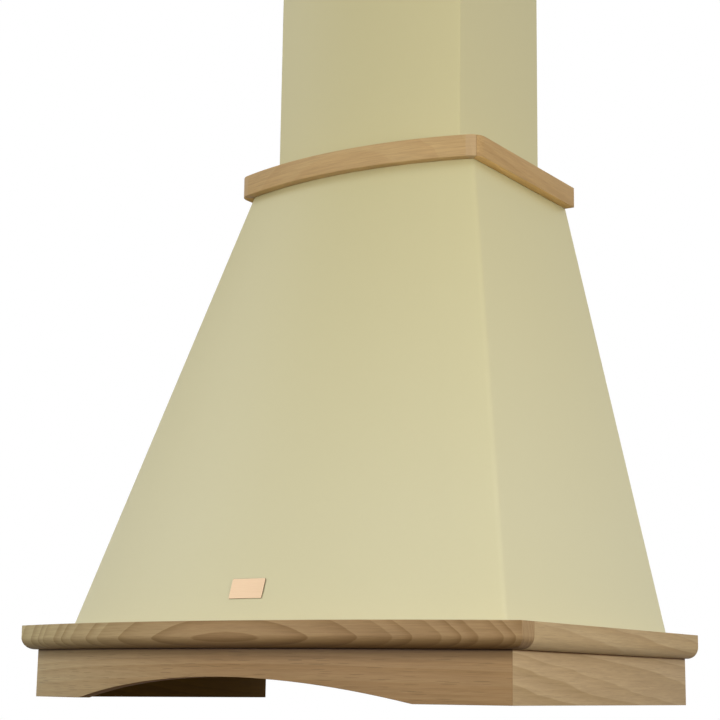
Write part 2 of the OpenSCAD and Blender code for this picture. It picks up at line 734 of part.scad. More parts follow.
// The switch box: a plate under the pan, a case above it, and a well for each button.
module switch_box() color([0.3, 0.3, 0.31]) translate([0, -lamp_y, z_pan]) difference() {
  in = lap + fit;
  union() {
    translate([-switch_w / 2, -switch_d / 2, -rim_t]) cube([switch_w, switch_d, rim_t]);
    translate([-switch_w / 2 + in, -switch_d / 2 + in, -e])
      cube([switch_w - 2 * in, switch_d - 2 * in, switch_h]);
  }
  w = button_w + 2 * play;
  d = button_d + 2 * play;
  for (i = [-2:2]) translate([i * button_step, 0, 0]) {
    translate([-w / 2, -d / 2, -rim_t - over]) cube([w, d, rim_t + 3 * over]);
    translate([-w / 2 - button_lip, -d / 2 - button_lip, pan_t])
      cube([w + 2 * button_lip, d + 2 * button_lip, button_lip_h + button_travel + 2 * over]);
  }
}
module button(i) color([0.12, 0.12, 0.13]) translate([i * button_step, -lamp_y, z_pan]) {
  lip_z = pan_t + fit / 2;
  translate([-button_w / 2, -button_d / 2, -rim_t - button_travel])
    cube([button_w, button_d, rim_t + button_travel + lip_z + button_lip_h]);
  translate([-button_w / 2 - button_lip, -button_d / 2 - button_lip, lip_z])
    cube([button_w + 2 * button_lip, button_d + 2 * button_lip, button_lip_h]);
}
module light_button() button(-2);
module stop_button() button(-1);
module low_button() button(0);
module medium_button() button(1);
module high_button() button(2);

// Side view of the casing: a spiral that grows up to the outlet, drawn with y to the right and z up.
function spiral(t) = concat(
  [for (i = [0:40]) let (a = mix(scroll_a, 360, i / 40), r = mix(casing_r0, casing_r1, i / 40) - t)
    r * [cos(a), sin(a)]],
  [for (y = [casing_r1 - t, casing_r1 - outlet_w + t]) [y, outlet_h + (t > 0 ? over : 0)]]);
module across(x, w) translate([x, -fan_y, z_fan]) rotate([90, 0, 90]) linear_extrude(w) children();
module scroll_casing() color([0.5, 0.52, 0.54]) difference() {
  across(-casing_w / 2, casing_w) polygon(spiral(0));
  across(-casing_w / 2 + casing_t, casing_w - 2 * casing_t) polygon(spiral(casing_t));
  translate([-casing_w / 2 - over, -fan_y, z_fan]) rotate([0, 90, 0])
    cylinder(r = inlet_r, h = casing_w + 2 * over);
}

// The motor hangs in the right inlet on three arms, with its shaft towards the middle of the wheel.
module motor() color([0.35, 0.35, 0.37]) {
  cap_x = casing_w / 2 - cap_h;
  across(casing_w / 2, arm_t) {
    circle(cap_r);
    for (a = [90, 210, 330]) rotate(a) translate([0, -arm_w / 2]) square([inlet_r + arm_lap, arm_w]);
  }
  across(motor_x, cap_x - motor_x) circle(motor_r);
  across(cap_x - e, cap_h + 2 * e) circle(cap_r);
  across(-shaft_out, shaft_out + motor_x + e) circle(shaft_r);
}
module impeller() color([0.2, 0.2, 0.21]) {
  across(-wheel_w / 2, wheel_w) for (i = [0:blades - 1]) rotate(i * 360 / blades)
    translate([wheel_r - blade_w + 0.5, 0]) rotate(blade_a) square([blade_w - 1, blade_t]);
  for (x = [-wheel_w / 2, wheel_w / 2 - wheel_rim]) across(x, wheel_rim) difference() {
    circle(wheel_r);
    circle(wheel_r - blade_w);
  }
  across(-disc_t / 2, disc_t) difference() {
    circle(wheel_r);
    circle(shaft_r + run_gap, $fn = 32);
  }
  across(-hub_l, hub_l) difference() {
    circle(hub_r);
    circle(shaft_r + run_gap, $fn = 32);
  }
}

// Two bent legs between the panel and the casing's back.
module blower_bracket() zinc() difference() {
  gap = fan_y - casing_r1 - panel_t;
  for (m = [0, 1]) mirror([m, 0, 0]) translate([leg_x, -panel_t, leg_z]) rotate([90, 0, 0]) {
    cube([leg_t, leg_h, gap]);
    cube([leg_w, leg_h, leg_t]);
    translate([leg_t - leg_w, 0, gap - leg_t]) cube([leg_w, leg_h, leg_t]);
  }
  at_blower_screws() pilot(4);
}

// The collar: a flange on the casing's outlet, a round duct spigot, a ledge and a pin for two flaps.
module duct_collar() color([0.16, 0.16, 0.17]) translate([0, collar_y, z_outlet]) {
  bore = collar_r - collar_t;
  difference() {
    union() {
      translate([-casing_w / 2, -outlet_w / 2, 0]) cube([casing_w, outlet_w, collar_t]);
      cylinder(r = collar_r, h = collar_t + collar_h, $fn = 128);
    }
    translate([0, 0, -over]) cylinder(r = bore - ledge, h = collar_h + collar_t + 2 * over, $fn = 128);
    translate([0, 0, z_pin - z_outlet - flap_low - seat]) cylinder(r = bore, h = collar_h, $fn = 128);
  }
  translate([-collar_r + over, 0, z_pin - z_outlet]) rotate([0, 90, 0])
    cylinder(r = pin_r, h = collar_d - 2 * over, $fn = 32);
}
// A half-moon flap with two knuckles round the pin. Turned half round, its twin fits between them.
flap_low = pin_r + fit / 2;
module flap() {
  n = pin_r + knuckle_t;
  gap = (collar_r / 3 - knuckle_w) / 2;
  difference() {
    translate([0, 0, -flap_low]) linear_extrude(flap_t) intersection() {
      circle(collar_r - collar_t - flap_gap, $fn = 128);
      translate([-collar_r, pin_r + flap_gap]) square([collar_d, collar_d]);
    }
    for (x = [-collar_r / 6 - knuckle_w, collar_r / 2]) translate([x - 2 * gap, -over, -n - over])
      cube([knuckle_w + 4 * gap, n + over + flap_gap, 2 * (n + over)]);
  }
  for (x = [-collar_r / 2 - knuckle_w, collar_r / 6 + gap]) translate([x, 0, 0]) rotate([0, 90, 0])
    difference() {
      cylinder(r = n, h = knuckle_w, $fn = 32);
      translate([0, 0, -over]) cylinder(r = pin_r + run_gap, h = knuckle_w + 2 * over, $fn = 32);
    }
}
module rear_flap() color([0.75, 0.75, 0.73]) translate([0, collar_y, z_pin]) flap();
module front_flap() color([0.75, 0.75, 0.73]) translate([0, collar_y, z_pin]) rotate([0, 0, 180]) flap();

// Junction box on the panel, with its lid in front and a bare cable gland underneath.
module junction_box() color([0.8, 0.8, 0.78]) translate([box_x - box_w / 2, -panel_t - box_d, box_z])
  difference() {
    cube([box_w, box_d, box_h]);
    translate([box_t, -over, box_t]) cube([box_w - 2 * box_t, box_d + over - box_t, box_h - 2 * box_t]);
    translate([box_w / 2, box_d / 2, -over]) cylinder(r = gland_thread, h = box_t + 2 * over);
  }
module box_lid() color([0.7, 0.7, 0.69]) translate([box_x - box_w / 2, -panel_t - box_d - box_t, box_z])
  cube([box_w, box_t, box_h]);
module cable_gland() color([0.15, 0.15, 0.16]) translate([box_x, -panel_t - box_d / 2, box_z]) difference() {
  nut = 0.6 * gland_h;
  union() {
    translate([0, 0, -nut]) cylinder(r = gland_r, h = nut);
    translate([0, 0, -gland_h]) cylinder(r = gland_r - box_t, h = gland_h - over);
    translate([0, 0, -over]) cylinder(r = gland_thread - fit / 2, h = over + 2 * box_t);
  }
  translate([0, 0, -gland_h - over]) cylinder(r = gland_bore, h = 2 * gland_h);
}

module dome_screws() zinc() at_dome_screws() screw();
module pan_screws() zinc() at_pan_screws() screw();
module panel_screws() zinc() at_panel_screws() screw(dome_t + panel_t - fit);
module chimney_screws() zinc() at_cover_screws() screw(cover_t + dome_t);
module blower_screws() zinc() at_blower_screws() screw(leg_t + panel_t - fit);

front_apron();
left_apron();
right_apron();
corner_blocks();
front_cornice();
left_cornice();
right_cornice();
rear_rail();
dome_shell();
front_belt();
left_belt();
right_belt();
lower_chimney();
upper_chimney();
chimney_bracket();
upper_bracket();
nameplate();
back_panel();
base_pan();
left_filter();
left_filter_mesh();
left_latch();
right_filter();
right_filter_mesh();
right_latch();
left_lamp();
left_lens();
right_lamp();
right_lens();
switch_box();
light_button();
stop_button();
low_button();
medium_button();
high_button();
scroll_casing();
motor();
impeller();
blower_bracket();
duct_collar();
front_flap();
rear_flap();
junction_box();
box_lid();
cable_gland();
dome_screws();
pan_screws();
panel_screws();
chimney_screws();
blower_screws();
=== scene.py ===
"""Wall-hung dome hood with a beech frame, a cream painted dome and a telescopic duct cover."""

import math

import bpy
from mathutils import Matrix, Vector


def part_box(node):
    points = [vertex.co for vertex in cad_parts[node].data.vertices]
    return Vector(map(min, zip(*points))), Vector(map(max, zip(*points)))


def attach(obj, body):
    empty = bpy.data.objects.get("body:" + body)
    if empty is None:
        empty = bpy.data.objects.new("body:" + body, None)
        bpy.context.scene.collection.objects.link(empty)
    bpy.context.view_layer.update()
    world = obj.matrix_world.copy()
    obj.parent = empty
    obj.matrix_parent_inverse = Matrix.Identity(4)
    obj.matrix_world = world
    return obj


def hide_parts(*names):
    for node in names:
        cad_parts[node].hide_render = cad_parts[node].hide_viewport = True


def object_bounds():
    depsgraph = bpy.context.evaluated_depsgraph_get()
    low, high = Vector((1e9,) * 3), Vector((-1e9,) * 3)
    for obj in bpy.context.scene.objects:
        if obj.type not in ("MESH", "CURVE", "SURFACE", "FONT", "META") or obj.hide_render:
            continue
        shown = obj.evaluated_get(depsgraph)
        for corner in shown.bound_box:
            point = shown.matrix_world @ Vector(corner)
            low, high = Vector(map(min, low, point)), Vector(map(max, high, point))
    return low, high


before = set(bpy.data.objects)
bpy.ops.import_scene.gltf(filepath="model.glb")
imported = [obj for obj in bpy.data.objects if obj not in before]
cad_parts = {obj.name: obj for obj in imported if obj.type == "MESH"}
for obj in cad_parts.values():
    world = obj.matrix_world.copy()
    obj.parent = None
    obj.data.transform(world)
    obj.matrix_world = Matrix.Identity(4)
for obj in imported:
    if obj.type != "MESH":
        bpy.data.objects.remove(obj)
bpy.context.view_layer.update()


# The view: the camera stands to the right of the hood, as low as the shelf, and looks up at it a
# little, so that the arch in the front board shows the inner face of the left board.
eye = Vector((0.98344, -1.72573, -0.31550))
turn = math.radians(33.0526)
rise = math.radians(11.0901)
roll = math.radians(0.799)
film_width = 36
focal_length = 83.381
lens = bpy.data.cameras.new("view")
lens.sensor_width = film_width
lens.lens = focal_length
view = bpy.data.objects.new("view", lens)
upright = Matrix.Rotation(math.pi / 2 + rise, 4, "X")
look = Matrix.Rotation(turn, 4, "Z") @ upright @ Matrix.Rotation(roll, 4, "Z")
view.matrix_world = Matrix.Translation(eye) @ look
bpy.context.collection.objects.link(view)
bpy.context.scene.camera = view


# The room: a plain pale floor well under the hood, a white backdrop, three large soft lamps at the
# front, the right and the left, and two long narrow ones low down that light the undersides.
class Wire:
    """A socket that is added to, multiplied and compared as a number is."""

    def __init__(self, finish, socket):
        self.finish = finish
        self.socket = socket

    def maths(self, operation, *values):
        return self.finish.node("Math", {"operation": operation}, dict(enumerate(values)))

    def __add__(self, other):
        return self.maths("ADD", self, other)

    def __radd__(self, other):
        return self.maths("ADD", other, self)

    def __sub__(self, other):
        return self.maths("SUBTRACT", self, other)

    def __mul__(self, other):
        return self.maths("MULTIPLY", self, other)

    def __mod__(self, other):
        return self.maths("FLOORED_MODULO", self, other)

    def __abs__(self):
        return self.maths("ABSOLUTE", self)

    def __gt__(self, other):
        return self.maths("GREATER_THAN", self, other)

    def __lt__(self, other):
        return self.maths("LESS_THAN", self, other)


class Finish:
    """The nodes of a material or of the backdrop, and the shader that they end in."""

    def __init__(self, owner):
        self.owner = owner
        owner.use_nodes = True
        self.tree = owner.node_tree
        kinds = ("BSDF_PRINCIPLED", "BACKGROUND")
        self.shader = next(n for n in self.tree.nodes if n.type in kinds)

    def node(self, kind, settings, inputs, output=0):
        made = self.tree.nodes.new("ShaderNode" + kind)
        for name, value in settings.items():
            if name == "stops":
                ramp = made.color_ramp.elements
                while len(ramp) < len(value):
                    ramp.new(1)
                for stop, (place, colour) in zip(ramp, value):
                    stop.position = place
                    stop.color = colour
            else:
                setattr(made, name, value)
        self.plug(made, inputs)
        return Wire(self, made.outputs[output])

    def plug(self, made, inputs):
        for name, value in inputs.items():
            if isinstance(value, Wire):
                self.tree.links.new(value.socket, made.inputs[name])
            else:
                made.inputs[name].default_value = value

    def end(self, **inputs):
        self.plug(self.shader, {name.replace("_", " "): value for name, value in inputs.items()})
        return self.owner

    def place(self):
        return self.node("TexCoord", {}, {}, "Object")

    def stretch(self, vector, by):
        return self.node("VectorMath", {"operation": "MULTIPLY"}, {0: vector, 1: by})

    def noise(self, vector, detail=2.0, roughness=0.5):
        inputs = {"Vector": vector, "Scale": 1.0, "Detail": detail, "Roughness": roughness}
        return self.node("TexNoise", {}, inputs)

    def blend(self, a, b, share, kind="MIX"):
        return self.node("Mix", {"data_type": "RGBA", "blend_type": kind}, {0: share, 6: a, 7: b}, 2)


def tone(red, green, blue):
    """A colour as a screen shows it, from 0 to 255, made linear."""
    parts = [value / 255 for value in (red, green, blue)]
    return [p / 12.92 if p <= 0.04045 else ((p + 0.055) / 1.055) ** 2.4 for p in parts] + [1.0]


low_sky = (0.52, 0.52, 0.52, 1)
high_sky = (0.28, 0.28, 0.28, 1)
white = (1, 1, 1, 1)
backdrop = Finish(bpy.data.worlds.new("backdrop"))
seen = backdrop.node("LightPath", {}, {}, "Is Camera Ray")
mirrored = backdrop.node("LightPath", {}, {}, "Is Glossy Ray")
through = backdrop.node("LightPath", {}, {}, "Is Transmission Ray")
shown = (seen + mirrored + through) > 0.5
upward = backdrop.node("SeparateXYZ", {}, {0: backdrop.node("TexCoord", {}, {}, "Generated")}, "Z")
sky = backdrop.node("ValToRGB", {"stops": [(0.55, low_sky), (1.0, high_sky)]}, {"Fac": upward}, "Color")
backdrop.end(Color=backdrop.blend(sky, white, shown))
bpy.context.scene.world = backdrop.owner

floor_drop = 1.60
floor_size = 88
bpy.ops.object.select_all(action="DESELECT")
bpy.ops.mesh.primitive_plane_add(size=floor_size, location=(0, 0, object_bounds()[0][2] - floor_drop))
floor = bpy.context.object
floor.name = "floor"
floor_paint = Finish(bpy.data.materials.new("floor_paint"))
direct = floor_paint.node("LightPath", {}, {}, "Is Camera Ray")
direct = direct + floor_paint.node("LightPath", {}, {}, "Is Glossy Ray")
direct = (direct + floor_paint.node("LightPath", {}, {}, "Is Transmission Ray")) > 0.5
dark_floor = (0.13, 0.095, 0.065, 1)
pale_floor = tone(232, 231, 228)
glow = (0.36, 0.355, 0.35, 1)
floor_paint.end(Base_Color=floor_paint.blend(dark_floor, pale_floor, direct), Roughness=0.9,
                Emission_Color=floor_paint.blend((0, 0, 0, 1), glow, direct), Emission_Strength=1.0)
floor.data.materials.append(floor_paint.owner)


def soft_light(name, bearing, height, distance, wide, tall, power, colour, target):
    """A soft light turned towards its target, with its bearing from the front and height in degrees."""
    bearing = math.radians(bearing)
    height = math.radians(height)
    level = math.cos(height)
    side = Vector((math.sin(bearing) * level, -math.cos(bearing) * level, math.sin(height)))
    light = bpy.data.lights.new(name, "AREA")
    light.shape = "RECTANGLE"
    light.size = wide
    light.size_y = tall
    light.energy = power
    light.color = colour
    stand = bpy.data.objects.new(name, light)
    stand.location = target + side * distance
    stand.rotation_euler = side.to_track_quat("Z", "Y").to_euler()
    stand.visible_camera = False
    bpy.context.collection.objects.link(stand)


hood_middle = Vector((0, -0.2, 0.1))
belt_front = Vector((0.05, -0.24, 0.2))
neutral = (1, 1, 1)
cool = (0.90, 0.95, 1)
warm = (1, 0.98, 0.95)
faintly_warm = (1, 0.985, 0.96)
soft_light("front_light", bearing=2, height=40, distance=4.0, wide=2.6, tall=2.6, power=10.0,
           colour=neutral, target=hood_middle)
soft_light("right_light", bearing=82, height=26, distance=4.0, wide=2.8, tall=2.8, power=16.1,
           colour=warm, target=hood_middle)
soft_light("left_light", bearing=-62, height=28, distance=4.0, wide=1.4, tall=1.4, power=14,
           colour=cool, target=hood_middle)
soft_light("low_front_light", bearing=-8, height=-8, distance=1.5, wide=1.2, tall=0.2, power=9.8,
           colour=faintly_warm, target=belt_front)
soft_light("low_right_light", bearing=78, height=-10, distance=1.5, wide=1.2, tall=0.2, power=11.0,
           colour=faintly_warm, target=belt_front)


# The boards under the shelf: steamed beech, planed and left almost bare. The front board is
# sawn to a bow with an arch in its lower edge, and the side boards are mitred and glued to it.
fold = math.radians(35)
sharp_edge = 40
hair = 1e-5


def copied(node, flat=0.3):
    """A new piece with a node's form, whose triangles are merged into faces, flat to so many degrees."""
    piece = bpy.data.objects.new(node + "_piece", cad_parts[node].data.copy())
    piece.data.materials.clear()
    bpy.context.collection.objects.link(piece)
    pick(piece)
    bpy.ops.mesh.customdata_custom_splitnormals_clear()
    bpy.ops.object.mode_set(mode="EDIT")
    bpy.ops.mesh.select_all(action="SELECT")
    bpy.ops.mesh.remove_doubles(threshold=2e-6)
    if flat:
        bpy.ops.mesh.dissolve_limited(angle_limit=math.radians(flat))
    bpy.ops.object.mode_set(mode="OBJECT")
    return piece


def pick(*pieces):
    """Only these pieces are selected, and the first is the active one."""
    if bpy.context.object and bpy.context.object.mode != "OBJECT":
        bpy.ops.object.mode_set(mode="OBJECT")
    bpy.ops.object.select_all(action="DESELECT")
    for piece in pieces:
        piece.select_set(True)
    bpy.context.view_layer.objects.active = pieces[0]


def rounded(piece, edge, clamp=False, sharp=sharp_edge):
    """Edges sharper than so many degrees are rounded off, and the rest of the piece is smooth."""
    pick(piece)
    bpy.ops.object.shade_smooth()
    bevel = piece.modifiers.new("edge", "BEVEL")
    bevel.width = edge
    bevel.segments = 2
    bevel.limit_method = "ANGLE"
    bevel.angle_limit = math.radians(sharp)
    bevel.use_clamp_overlap = clamp
    bevel.harden_normals = True
    bpy.ops.object.modifier_apply(modifier=bevel.name)
    return piece


def fitted(piece, body, slot, finish, *nodes):
    """The piece gets its finish, moves with its body and stands for its nodes."""
    if not piece.data.materials:
        piece.data.materials.append(finish)
    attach(piece, body)
    if nodes:
        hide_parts(*nodes)
    return piece


def beech(name, pale, tan, line, cut, ring, sway, grain, fleck=0.2, end_x=None, end_tone=None,
          inside=None, shade=(), left_end_light=None, painted_underside=None):
    """Beech with growth rings in three tones that lie across cut, ring metres apart and bent by sway.

    The fibres run along the axes in grain. fleck is the strength of the dark rays. Past end_x the
    board shows end_tone, and nearer the middle than inside it is darkened with painted shade, as the
    faces inside the hood are shaded. Each shade is a painted shade that fades from one height to
    another. The left end gets painted light that fades to the middle, and the faces that look down get
    painted shade where that colour is below 1 and painted light where it is above 1.
    """
    wood = Finish(bpy.data.materials.new(name))
    place = wood.place()
    slim = 0.045

    def drawn(across, along=None):
        """The place in pattern lengths, so many to the metre across the fibres and along them."""
        along = slim * across if along is None else along
        return wood.stretch(place, [along if axis in grain else across for axis in "XYZ"])

    slow = wood.noise(drawn(13))
    wander = wood.noise(drawn(70))
    reach = Vector(cut).normalized() / ring
    rings = wood.node("VectorMath", {"operation": "DOT_PRODUCT"}, {0: place, 1: reach}, "Value")
    rings = rings + slow * sway + wander * (0.3 * sway)
    uneven = {"W": rings * 0.45, "Scale": 1.0, "Detail": 1.0}
    rings = rings + wood.node("TexNoise", {"noise_dimensions": "1D"}, uneven) * 1.3
    phase = rings % 1.0
    growth = [(0.0, pale), (0.4, tan), (0.9, line), (0.95, line), (1.0, pale)]
    grown = wood.node("ValToRGB", {"stops": growth}, {"Fac": phase}, "Color")
    year = wood.node("TexWhiteNoise", {"noise_dimensions": "1D"}, {"W": rings - phase}, "Value")
    colour = wood.blend(grown, tan, year * 0.6)
    patch = wood.noise(drawn(9), 3.0)
    clouds = [(0.3, (0.43, 0.41, 0.38, 1)), (0.7, (0.57, 0.57, 0.56, 1))]
    cloud = wood.node("ValToRGB", {"stops": clouds}, {"Fac": patch}, "Color")
    colour = wood.blend(colour, cloud, 0.5, "OVERLAY")
    fibre = wood.noise(drawn(1300, 60), 3.0, 0.6)
    streak = wood.noise(drawn(380, 14), 3.0, 0.65)
    threads = [(0.3, (0.35, 0.32, 0.28, 1)), (0.7, (0.63, 0.63, 0.62, 1))]
    thread = wood.node("ValToRGB", {"stops": threads}, {"Fac": fibre * 0.45 + streak * 0.55}, "Color")
    colour = wood.blend(colour, thread, 0.6, "OVERLAY")
    cells = {"Vector": drawn(900, 34), "Scale": 1.0}
    spot = wood.node("TexVoronoi", {"feature": "F1"}, cells, "Distance")
    lot = wood.node("TexVoronoi", {"feature": "F1"}, cells, "Color")
    chosen = wood.node("SeparateColor", {}, {0: lot}, 0)
    level = wood.node("SeparateXYZ", {}, {0: wood.node("NewGeometry", {}, {}, "Normal")}, "Z")
    flecks = (spot < 0.27) * (chosen > 0.55) * (abs(level) < 0.5)
    colour = wood.blend(colour, [0.45 * c for c in line[:3]] + [1.0], flecks * fleck)
    where = wood.node("SeparateXYZ", {}, {0: place}, "X")
    height = wood.node("SeparateXYZ", {}, {0: place}, "Z")
    if end_x:
        pores = wood.noise(wood.stretch(place, [300, 900, 60]), 2.0)
        cut_end = wood.blend(end_tone or pale, line, pores * 0.8)
        colour = wood.blend(colour, cut_end, (abs(where) > end_x) * 0.55)
    rough = 0.55 + fibre * 0.16
    # Painted shade on the inner faces, which lie in the hood's shade.
    if inside:
        shade_colour = wood.blend(colour, (0.26, 0.18, 0.022, 1), 1.0, "MULTIPLY")
        colour = wood.blend(colour, shade_colour, abs(where) < inside)
        rough = rough + (abs(where) < inside) * 0.35
    # Painted on the faces that look down: shade where the colour is below 1, light where it is above 1.
    if painted_underside:
        underside_colour = wood.blend(colour, painted_underside, 1.0, "MULTIPLY")
        colour = wood.blend(colour, underside_colour, level < -0.5)
        rough = rough + (level < -0.5) * 0.35
    # Each entry paints shade that fades from one height to another.
    for near, far, shade_colour in shade:
        depth = {"Value": height, "From Min": near, "From Max": far, "To Min": 1.0, "To Max": 0.0}
        shaded_colour = wood.blend(colour, shade_colour, 1.0, "MULTIPLY")
        colour = wood.blend(colour, shaded_colour, wood.node("MapRange", {}, depth, "Result"))
    # Painted light: the left end is lighter, as light falls on it from the left, fading to the middle.
    if left_end_light:
        reached = {"Value": where, "From Min": -0.30, "From Max": 0.0, "To Min": 1.0, "To Max": 0.0}
        far_end = wood.node("MapRange", {}, reached, "Result")
        left_lit = wood.blend(colour, left_end_light, 1.0, "MULTIPLY")
        colour = wood.blend(colour, left_lit, far_end)
    relief = fibre * 0.5 + streak * 0.3
    bump = wood.node("Bump", {}, {"Strength": 0.3, "Distance": 0.0002, "Height": relief}, "Normal")
    return wood.end(Base_Color=colour, Roughness=rough, Specular_IOR_Level=0.3, Normal=bump)


def eased(piece, radius, steps, chosen):
    """The sharp edges whose two ends pass the test chosen are rounded over, and no others."""
    pick(piece)
    bpy.context.tool_settings.mesh_select_mode = (False, True, False)
    bpy.ops.object.mode_set(mode="EDIT")
    bpy.ops.mesh.select_all(action="DESELECT")
    bpy.ops.mesh.edges_select_sharp(sharpness=math.radians(sharp_edge))
    bpy.ops.object.mode_set(mode="OBJECT")
    points = piece.data.vertices
    for line in piece.data.edges:
        a, b = (points[index].co for index in line.vertices)
        line.select = line.select and chosen(a, b)
    bpy.ops.object.mode_set(mode="EDIT")
    bpy.ops.mesh.bevel(offset=radius, segments=steps, affect="EDGES")
    bpy.ops.object.mode_set(mode="OBJECT")
    bpy.ops.object.shade_smooth_by_angle(angle=fold)
    return piece


soft_edge = 0.0006
sanded = 0.0004
shelf_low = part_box("front_cornice")[0].z
well_below = shelf_low - 0.02
# Painted shadow: a dark line on the boards just under the shelf, where the joint lies in shade.
joint_shadow = (0.27, 0.14, 0.03, 1)
# Painted shade under the shelf: the front board is darkened for 13 mm below it, as the shelf's overhang
# shades it.
overhang_shade = (0.31, 0.265, 0.19, 1)
painted_shade_under_shelf = (shelf_low, shelf_low - 0.013, overhang_shade)
painted_shadow_in_joint = (shelf_low - 0.0004, shelf_low - 0.0022, joint_shadow)
# The front board gets painted light at its left end and painted shade on the faces that look down.
apron_wood = beech("beech_front_board", tone(157, 129, 91), tone(154, 125, 87), tone(147, 117, 79),
                   cut=(0, 0.12, 1), ring=0.0085, sway=2.2, grain="XY", fleck=0.45,
                   shade=(painted_shade_under_shelf, painted_shadow_in_joint), left_end_light=(1.31, 1.61, 1.96, 1),
                   painted_underside=(0.55, 0.42, 0.28, 1))


def below_and_long(a, b):
    """True for the front board's lower edges, apart from those across a mitre."""
    return max(a.z, b.z) < well_below and abs(a.y - b.y) < 1.5 * abs(a.x - b.x) + hair


def below_and_straight(a, b):
    """True for a side board's lower edges that run from front to back."""
    return max(a.z, b.z) < well_below and abs(a.x - b.x) < hair


apron = eased(copied("front_apron"), sanded, 3, below_and_long)
fitted(apron, "hood", "wood", apron_wood, "front_apron")

# The side boards get painted shade on their inner faces and a painted shadow along the joint under the
# shelf.
side_wood = beech("beech_side_boards", tone(178, 155, 119), tone(173, 149, 113), tone(161, 137, 99),
                  cut=(0, 0.10, 1), ring=0.014, sway=3.4, grain="Y", inside=0.2740,
                  shade=(painted_shadow_in_joint,))
for side in ("left_apron", "right_apron"):
    board = eased(copied(side), sanded, 3, below_and_straight)
    fitted(board, "hood", "wood", side_wood, side)

block_wood = beech("beech_glue_blocks", tone(188, 164, 130), tone(176, 150, 116), tone(158, 130, 96),
                   cut=(1, 0.4, 0), ring=0.004, sway=1.0, grain="Z")
fitted(rounded(copied("corner_blocks"), soft_edge), "hood", "wood", block_wood, "corner_blocks")


# The shelf: the front board is sawn from a wide beech plank and runs the full width, so its ends
# show beside the side boards. Its lower outer edge is rounded, and a rail ties it at the wall.
# Painted shade on the lower half of the shelf's rounded front edge, which faces down, and painted light at
# the shelf's left end.
nose_shade = (0.30, 0.21, 0.03, 1)
nose_high = 0.012
shelf_end = 0.2994
shelf_wood = beech("beech_front_shelf", tone(165, 138, 99), tone(158, 130, 91), tone(136, 107, 69),
                   cut=(-0.02, 1, 0.28), ring=0.0056, sway=1.1, grain="XY", fleck=0.15,
                   end_x=shelf_end, shade=((shelf_low, shelf_low + nose_high, nose_shade),),
                   left_end_light=(1.33, 1.70, 2.00, 1))
fitted(rounded(copied("front_cornice"), soft_edge), "hood", "wood", shelf_wood, "front_cornice")

shelf_side_wood = beech("beech_side_shelves", tone(181, 159, 122), tone(176, 153, 115),
                        tone(165, 140, 101), cut=(0, 0.12, 1), ring=0.021, sway=2.6, grain="Y")
for side in ("left_cornice", "right_cornice"):
    fitted(rounded(copied(side), soft_edge), "hood", "wood", shelf_side_wood, side)
rail_wood = beech("beech_rail", tone(184, 160, 124), tone(176, 150, 114), tone(160, 133, 97),
                  cut=(0, 0.3, 1), ring=0.010, sway=1.6, grain="X")
fitted(rounded(copied("rear_rail"), soft_edge), "hood", "wood", rail_wood, "rear_rail")


# The pan: pressed steel sheet, painted with the dome, screwed up under the shelf. It holds the
# filters, the lamps and the switches.
warm_from = -0.15
warm_full = 0.25


def enamel(name, colour):
    """Sprayed satin paint: a little warmer towards the top, with a very fine ripple from the gun."""
    paint = Finish(bpy.data.materials.new(name))
    place = paint.place()
    cloud = paint.noise(paint.stretch(place, [3.5, 3.5, 3.5]))
    mist = paint.noise(paint.stretch(place, [900, 900, 900]))
    warm = [0.98 * colour[0], 0.95 * colour[1], 0.80 * colour[2], 1.0]
    height = paint.node("SeparateXYZ", {}, {0: place}, "Z")
    reached = {"Value": height, "From Min": warm_from, "From Max": warm_full}
    towards_top = paint.node("MapRange", {}, reached, "Result")
    shade = paint.blend(colour, warm, towards_top * 0.8 + cloud * 0.2)
    darker = [0.93 * c for c in colour[:3]] + [1.0]
    shade = paint.blend(shade, darker, (mist - 0.45) * 0.6)
    ripple = paint.noise(paint.stretch(place, [420, 420, 420]), 1.0)
    bump = paint.node("Bump", {}, {"Strength": 0.08, "Distance": 0.0004, "Height": ripple}, "Normal")
    return paint.end(Base_Color=shade, Roughness=0.44 + (mist - 0.5) * 0.08, Normal=bump)


cream = enamel("cream_enamel", tone(201, 195, 157))
sheet_edge = 0.0003
fitted(rounded(copied("base_pan"), sheet_edge, clamp=True), "hood", "cream_paint", cream, "base_pan")


# The grease filters: a folded aluminium frame round two layers of expanded mesh, which turns down
# on two tongues at the back. A plastic latch slides in the front rail.
def metal(name, colour, rough, brushed, lines_along):
    """Rolled or brushed metal with fine lines along one axis and a little cloudiness."""
    sheet = Finish(bpy.data.materials.new(name))
    place = sheet.place()
    drawn = [40 if axis == lines_along else 2200 for axis in "XYZ"]
    lines = sheet.noise(sheet.stretch(place, drawn), 2.0, 0.6)
    cloud = sheet.noise(sheet.stretch(place, [30, 30, 30]), 3.0)
    dark = [0.78 * c for c in colour[:3]] + [1.0]
    shade = sheet.blend(colour, dark, lines * 0.35 + cloud * 0.4)
    bump = sheet.node("Bump", {}, {"Strength": brushed, "Distance": 0.0001, "Height": lines}, "Normal")
    rough = rough + (cloud - 0.5) * 0.2 + (lines - 0.5) * 0.1
    return sheet.end(Base_Color=shade, Metallic=1.0, Roughness=rough, Normal=bump)


def plastic(name, colour, rough=0.42, grain=0.25):
    """Moulded plastic with the fine texture of a sparked tool."""
    shell = Finish(bpy.data.materials.new(name))
    place = shell.place()
    spark = shell.noise(shell.stretch(place, [1600, 1600, 1600]))
    cloud = shell.noise(shell.stretch(place, [25, 25, 25]))
    light = [min(1.0, 1.25 * c + 0.004) for c in colour[:3]] + [1.0]
    shade = shell.blend(colour, light, cloud * 0.6 + spark * 0.3)
    bump = shell.node("Bump", {}, {"Strength": grain, "Distance": 0.0001, "Height": spark}, "Normal")
    return shell.end(Base_Color=shade, Roughness=rough + (cloud - 0.5) * 0.12, Normal=bump)


